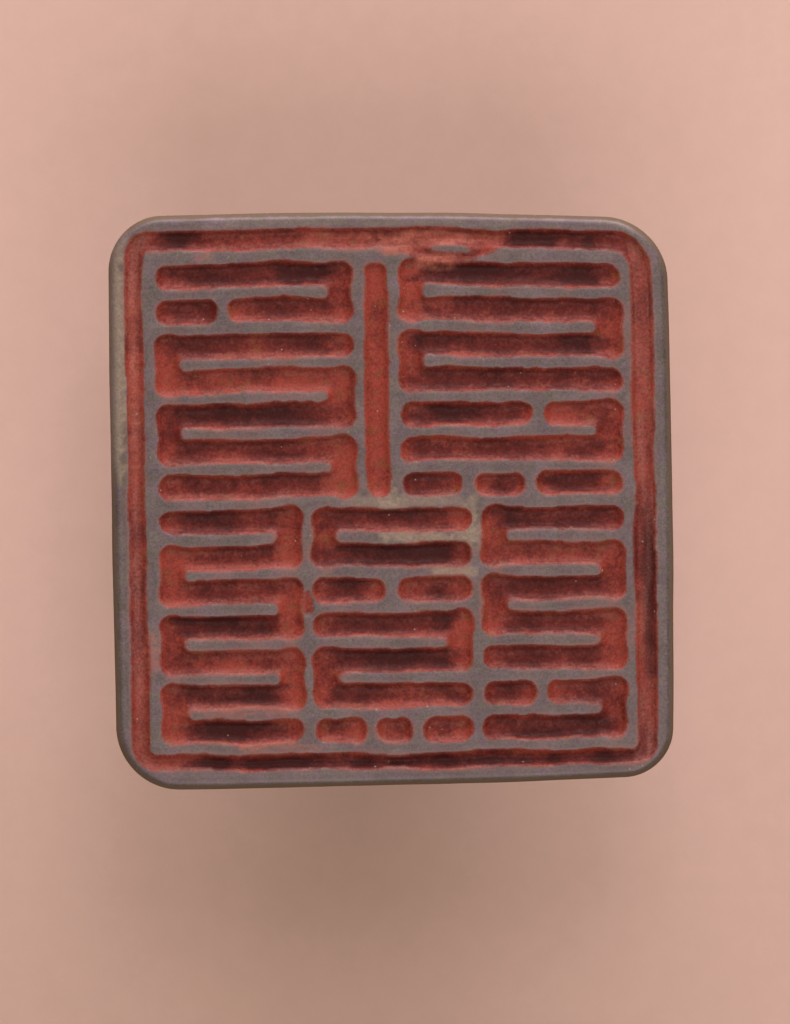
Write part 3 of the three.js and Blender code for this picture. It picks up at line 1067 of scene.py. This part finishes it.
def tarnish_group():
    """Worn bronze: mottled tarnish, brushed wear, grime and pale abraded grains."""
    group, given, result = new_group(
        "seal_tarnish",
        [
            ("Place", "Vector"), ("Bronze", "Color"), ("Cool", "Color"), ("Green", "Color"),
            ("Brown", "Color"), ("Crust", "Color"), ("Grime", "Float"), ("Abrasion", "Float"),
            ("Brushing", "Float"),
        ],
        [("Color", "Color"), ("Roughness", "Float"), ("Metallic", "Float"), ("Height", "Float")],
    )
    spot = given["Place"]
    cool = between(group, grain(group, spot, 0.55, 4, 0.6), 0.42, 0.66)
    other = stretched(group, spot, 1.0, 1.4, 1.0)
    green = between(group, grain(group, other, 0.8, 4, 0.6, 0.4), 0.50, 0.70)
    fine = grain(group, spot, 5.0, 4, 0.65)
    brushed = grain(group, stretched(group, spot, 0.25, 2.6, 2.6), 1.0, 3, 0.6)
    colour = blend(group, maths(group, "MULTIPLY", cool, 0.8), given["Bronze"], given["Cool"])
    colour = blend(group, maths(group, "MULTIPLY", green, 0.75), colour, given["Green"])
    light = between(group, fine, 0.25, 0.75, 0.74, 1.26)
    broad = between(group, grain(group, spot, 0.3, 3, 0.6), 0.35, 0.65, 0.90, 1.10)
    light = maths(group, "MULTIPLY", light, broad)
    streak = maths(group, "MULTIPLY_ADD", maths(group, "SUBTRACT", brushed, 0.5), given["Brushing"], 1.0)
    light = maths(group, "MULTIPLY", light, streak)
    colour = lit(group, colour, light)
    patchy = grain(group, spot, 0.9, 5, 0.65)
    grime = maths(group, "MULTIPLY_ADD", maths(group, "SUBTRACT", patchy, 0.5), 1.1, given["Grime"])
    grime = between(group, grime, 0.12, 0.85)
    grime = maths(group, "MULTIPLY", grime, between(group, given["Grime"], 0.0, 0.12))
    dirt = blend(group, between(group, fine, 0.3, 0.7), given["Brown"], given["Green"])
    dirt = blend(group, 0.55, given["Brown"], dirt)
    colour = blend(group, grime, colour, dirt)
    grains = between(group, grain(group, spot, 3.4, 4, 0.75), 0.25, 0.70, 0.35, 1.0)
    grains = maths(group, "MULTIPLY", grains, given["Abrasion"])
    colour = blend(group, grains, colour, given["Crust"])
    rough = maths(group, "MULTIPLY_ADD", grime, 0.22, between(group, fine, 0.3, 0.7, 0.44, 0.58))
    rough = maths(group, "MULTIPLY_ADD", grains, 0.2, rough, clamp=True)
    metal = maths(group, "MULTIPLY_ADD", grime, -0.35, 0.55)
    metal = maths(group, "MULTIPLY_ADD", grains, -0.6, metal, clamp=True)
    height = maths(group, "MULTIPLY_ADD", fine, 0.5, maths(group, "MULTIPLY", brushed, given["Brushing"]))
    height = maths(group, "ADD", height, grains)
    feed(group, result["Color"], colour)
    feed(group, result["Roughness"], rough)
    feed(group, result["Metallic"], metal)
    feed(group, result["Height"], height)
    return group


def tarnish(tree, group, spot, colours, dirt, grime, abrasion, brushing):
    """Places the tarnish group in a material. Dirt is the colour of the grime."""
    node = tree.nodes.new("ShaderNodeGroup")
    node.node_tree = group
    for label, value in (
        ("Place", spot), ("Bronze", rgba(colours.bronze)), ("Cool", rgba(colours.lavender)),
        ("Green", rgba(colours.green)), ("Brown", dirt), ("Crust", rgba(colours.crust_and_glint)),
        ("Grime", grime), ("Abrasion", abrasion), ("Brushing", brushing),
    ):
        feed(tree, node.inputs[label], value)
    return node.outputs


def new_material(name):
    """An empty material with its Principled shader."""
    material = bpy.data.materials.new(name)
    material.use_nodes = True
    tree = material.node_tree
    tree.nodes.clear()
    shader = tree.nodes.new("ShaderNodeBsdfPrincipled")
    output = tree.nodes.new("ShaderNodeOutputMaterial")
    tree.links.new(shader.outputs[0], output.inputs["Surface"])
    return material, tree, shader


def set_bump(tree, shader, height, depth):
    """Gives a material its finest relief, of a depth in metres where the height is 1."""
    bump = place(tree, "ShaderNodeBump", {"Height": height, "Distance": depth})
    tree.links.new(bump.outputs[0], shader.inputs["Normal"])


def paste_colour(tree, spot, colours):
    """Red paste: bright at ends and edges, dark in the hearts of long strokes, streaked along them.

    The dark hearts are partly painted shade and the bright ends partly painted light.
    """
    flow = painted(tree, "flow")
    across = grain(tree, stretched(tree, spot, 0.45, 1.0, 1.0), 1.0, 2, 0.5, 0.6)
    up = grain(tree, stretched(tree, spot, 1.0, 0.45, 1.0), 1.0, 2, 0.5, 0.6)
    streak = place(tree, "ShaderNodeMix", {0: flow, 2: across, 3: up}).outputs[0]
    lumps = grain(tree, spot, 1.3, 5, 0.65, 0.5)
    dark = maths(tree, "MULTIPLY_ADD", maths(tree, "SUBTRACT", streak, 0.5), 0.4, painted(tree, "heart"))
    dark = maths(tree, "MULTIPLY_ADD", maths(tree, "SUBTRACT", lumps, 0.5), 0.9, dark)
    for scale, share in ((0.22, 1.5), (3.2, 0.7)):
        other = maths(tree, "SUBTRACT", grain(tree, spot, scale, 2, 0.5), 0.5)
        dark = maths(tree, "MULTIPLY_ADD", other, share, dark)
    dark = maths(tree, "ADD", dark, 0.28, clamp=True)
    # The ramp towards oxblood is old paste and partly painted shade.
    shades = place(tree, "ShaderNodeValToRGB", {0: dark})
    bright, middle, deep = rgba(colours.vermilion), rgba(colours.crimson), rgba(colours.oxblood_and_shade)
    steps = ((0.0, bright), (0.48, middle), (1.0, deep))
    ramp_stops = shades.color_ramp.elements
    ramp_stops.new(0.5)
    for stop, (position, colour) in zip(ramp_stops, steps):
        stop.position = position
        stop.color = colour
    oily = between(tree, grain(tree, stretched(tree, spot, 1.0, 1.3, 1.0), 0.7, 3, 0.6), 0.50, 0.72)
    oily = maths(tree, "MULTIPLY", oily, between(tree, dark, 0.55, 0.15))
    colour = blend(tree, oily, shades.outputs[0], rgba(colours.orange))
    return colour, dark, streak, lumps


def face_material(colours, group):
    """The worn face: bronze walls and rim with red paste in and about the cuts."""
    material, tree, shader = new_material("worn_bronze_with_red_paste")
    spot = millimetres(tree)
    grime, abrasion = painted(tree, "grime"), painted(tree, "abrasion")
    metal = tarnish(tree, group, spot, colours, rgba(colours.brown), grime, abrasion, FACE_BRUSHING)
    paste, dark, streak, lumps = paste_colour(tree, spot, colours)
    fine = grain(tree, spot, 3.5, 3, 0.6)
    edge = maths(tree, "MULTIPLY_ADD", maths(tree, "SUBTRACT", fine, 0.5), 0.35, painted(tree, "paste"))
    covered = between(tree, edge, 0.15, 0.85)
    # The film is dried paste with a painted highlight on the cuts' lower edges.
    film = maths(tree, "MULTIPLY", painted(tree, "film"), between(tree, fine, 0.3, 0.65, 0.35, 1.0))
    colour = blend(tree, covered, metal["Color"], paste)
    colour = blend(tree, maths(tree, "MULTIPLY", film, 0.8, clamp=True), colour, rgba(colours.film))
    pale = painted(tree, "pale")
    smear = maths(tree, "MULTIPLY", pale, between(tree, lumps, 0.3, 0.6, 0.35, 0.9), clamp=True)
    colour = blend(tree, smear, colour, rgba(colours.salmon))
    # Rare pale dots over metal and paste: painted glints.
    glint_cells = place(tree, "ShaderNodeTexVoronoi", {"Vector": spot, "Scale": 0.75})
    glint_dot = between(tree, glint_cells.outputs["Distance"], 0.09, 0.05)
    chance = place(tree, "ShaderNodeSeparateColor", {0: glint_cells.outputs["Color"]}).outputs[0]
    painted_glint = maths(tree, "MULTIPLY", glint_dot, maths(tree, "GREATER_THAN", chance, 0.72))
    colour = blend(tree, maths(tree, "MULTIPLY", painted_glint, 0.7), colour, rgba(colours.crust_and_glint))
    light = between(tree, grain(tree, spot, 4.0, 3, 0.7), 0.3, 0.7, 0.78, 1.22)
    colour = blend(tree, covered, colour, lit(tree, colour, light))
    feed(tree, shader.inputs["Base Color"], colour)
    wet = between(tree, lumps, 0.3, 0.7, 0.42, 0.60)
    rough = place(tree, "ShaderNodeMix", {0: covered, 2: metal["Roughness"], 3: wet}).outputs[0]
    feed(tree, shader.inputs["Roughness"], rough)
    bare = maths(tree, "SUBTRACT", 1.0, maths(tree, "MAXIMUM", film, smear), clamp=True)
    bare = maths(tree, "MULTIPLY", bare, maths(tree, "SUBTRACT", 1.0, covered))
    feed(tree, shader.inputs["Metallic"], maths(tree, "MULTIPLY", metal["Metallic"], bare))
    glossy = maths(tree, "MULTIPLY", covered, between(tree, dark, 0.7, 0.1, 0.0, 0.06))
    feed(tree, shader.inputs["Coat Weight"], glossy)
    shader.inputs["Coat Roughness"].default_value = 0.3
    shader.inputs["Specular IOR Level"].default_value = 0.15
    lumpy = maths(tree, "MULTIPLY", lumps, 1.6)
    height = place(tree, "ShaderNodeMix", {0: covered, 2: metal["Height"], 3: lumpy}).outputs[0]
    set_bump(tree, shader, height, FACE_BUMP)
    return material


def skin_material(colours, group):
    """The skin of the sides, back and handle: dark patina, rubbed lighter, and brown at the rim."""
    material, tree, shader = new_material("cast_bronze_skin")
    spot = millimetres(tree)
    rubbed = between(tree, grain(tree, spot, 0.16, 3, 0.55), 0.45, 0.7, 0.0, 0.5)
    handled = between(tree, grain(tree, spot, 0.5, 4, 0.6), 0.3, 0.6, 0.1, 0.7)
    rubbed = maths(tree, "MULTIPLY_ADD", painted(tree, "rub"), handled, rubbed)
    grime = maths(tree, "SUBTRACT", painted(tree, "grime"), rubbed, clamp=True)
    aged = painted(tree, "aged")
    dirt = blend(tree, aged, rgba(colours.brown), rgba(colours.patina))
    metal = tarnish(tree, group, spot, colours, dirt, grime, SKIN_ABRASION, SKIN_BRUSHING)
    feed(tree, shader.inputs["Base Color"], metal["Color"])
    feed(tree, shader.inputs["Roughness"], maths(tree, "MULTIPLY_ADD", aged, -0.16, metal["Roughness"]))
    feed(tree, shader.inputs["Metallic"], maths(tree, "MULTIPLY_ADD", aged, 0.3, metal["Metallic"]))
    set_bump(tree, shader, metal["Height"], SKIN_BUMP)
    return material


def floor_material(colours):
    """Plain pale card with a faint fleck."""
    material, tree, shader = new_material("pale_card")
    spot = millimetres(tree)
    fleck = between(tree, grain(tree, spot, 0.35, 5, 0.7), 0.3, 0.7, 0.0, 1.0)
    colour = rgba(colours.floor)
    darker = rgba([value * 0.965 for value in colours.floor])
    feed(tree, shader.inputs["Base Color"], blend(tree, fleck, darker, colour))
    shader.inputs["Roughness"].default_value = 0.9
    return material


class OBJECT_OT_seal_casting(bpy.types.Operator):
    """Makes the seal as one casting: block, cut face and plate handle"""

    bl_idname = "object.seal_casting"
    bl_label = "Cast seal"

    def execute(self, context):
        scene = context.scene
        mesh = seal_mesh(scene.seal_sizes)
        if mesh.validate():
            raise RuntimeError("the casting's mesh has faults")
        group = tarnish_group()
        mesh.materials.append(face_material(scene.seal_colours, group))
        mesh.materials.append(skin_material(scene.seal_colours, group))
        casting = bpy.data.objects.new("seal_casting", mesh)
        scene.collection.objects.link(casting)
        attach(casting, "root")
        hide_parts("seal")
        return {"FINISHED"}


def add_light(scene, name, place_of, aim, size, power):
    """A soft square light turned towards a point."""
    data = bpy.data.lights.new(name, "AREA")
    data.size = size
    data.energy = power
    light = bpy.data.objects.new(name, data)
    light.location = place_of
    light.rotation_euler = (aim - place_of).to_track_quat("-Z", "Y").to_euler()
    scene.collection.objects.link(light)


def add_floor(scene, height):
    """A plain floor that reaches past the view on all sides."""
    half = FLOOR_SIZE / 2
    corners = [(-half, -half, height), (half, -half, height), (half, half, height), (-half, half, height)]
    mesh = bpy.data.meshes.new("floor")
    mesh.from_pydata(corners, [], [(0, 1, 2, 3)])
    mesh.materials.append(floor_material(scene.seal_colours))
    floor = bpy.data.objects.new("floor", mesh)
    scene.collection.objects.link(floor)


def set_room(scene, strength):
    """Even warm light from all round."""
    world = bpy.data.worlds.new("soft_room")
    world.use_nodes = True
    background = world.node_tree.nodes["Background"]
    background.inputs["Color"].default_value = rgba(ROOM_COLOUR)
    background.inputs["Strength"].default_value = strength
    scene.world = world
    scene.view_settings.view_transform = "Standard"


def add_camera(scene, stage, face_z):
    """A camera straight above the face."""
    data = bpy.data.cameras.new("camera")
    data.lens = data.sensor_width * stage.camera_distance / stage.view_height
    camera = bpy.data.objects.new("camera", data)
    camera.location = (VIEW_MIDDLE[0], VIEW_MIDDLE[1], face_z + stage.camera_distance)
    scene.collection.objects.link(camera)
    scene.camera = camera


class OBJECT_OT_seal_stage(bpy.types.Operator):
    """Sets the floor, the lights and the camera that looks straight down on the face"""

    bl_idname = "object.seal_stage"
    bl_label = "Set stage"

    def execute(self, context):
        scene = context.scene
        stage = scene.seal_stage
        low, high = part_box("seal")
        add_floor(scene, low.z)
        aim = Vector((0, 0, high.z / 2))
        for name, light in LIGHTS.items():
            add_light(scene, name, Vector(light["place"]), aim, light["size"], getattr(stage, name))
        set_room(scene, stage.room_light)
        add_camera(scene, stage, high.z)
        return {"FINISHED"}


class VIEW3D_PT_bronze_seal(bpy.types.Panel):
    """Lists the seal's sizes, colours and steps"""

    bl_label = "Bronze seal"
    bl_idname = "VIEW3D_PT_bronze_seal"
    bl_space_type = "VIEW_3D"
    bl_region_type = "UI"
    bl_category = "Seal"

    def draw(self, context):
        scene = context.scene
        for group in (scene.seal_sizes, scene.seal_colours, scene.seal_stage):
            column = self.layout.column(align=True)
            for name in type(group).__annotations__:
                column.prop(group, name)
        self.layout.operator(OBJECT_OT_seal_casting.bl_idname)
        self.layout.operator(OBJECT_OT_seal_stage.bl_idname)


CLASSES = (
    SealSizes, SealColours, SealStage, OBJECT_OT_seal_casting, OBJECT_OT_seal_stage, VIEW3D_PT_bronze_seal
)


def register():
    for each in CLASSES:
        bpy.utils.register_class(each)
    bpy.types.Scene.seal_sizes = bpy.props.PointerProperty(type=SealSizes)
    bpy.types.Scene.seal_colours = bpy.props.PointerProperty(type=SealColours)
    bpy.types.Scene.seal_stage = bpy.props.PointerProperty(type=SealStage)


def unregister():
    del bpy.types.Scene.seal_stage
    del bpy.types.Scene.seal_colours
    del bpy.types.Scene.seal_sizes
    for each in reversed(CLASSES):
        bpy.utils.unregister_class(each)


def main():
    register()
    bpy.ops.object.seal_casting()
    bpy.ops.object.seal_stage()


if __name__ == "__main__":
    main()
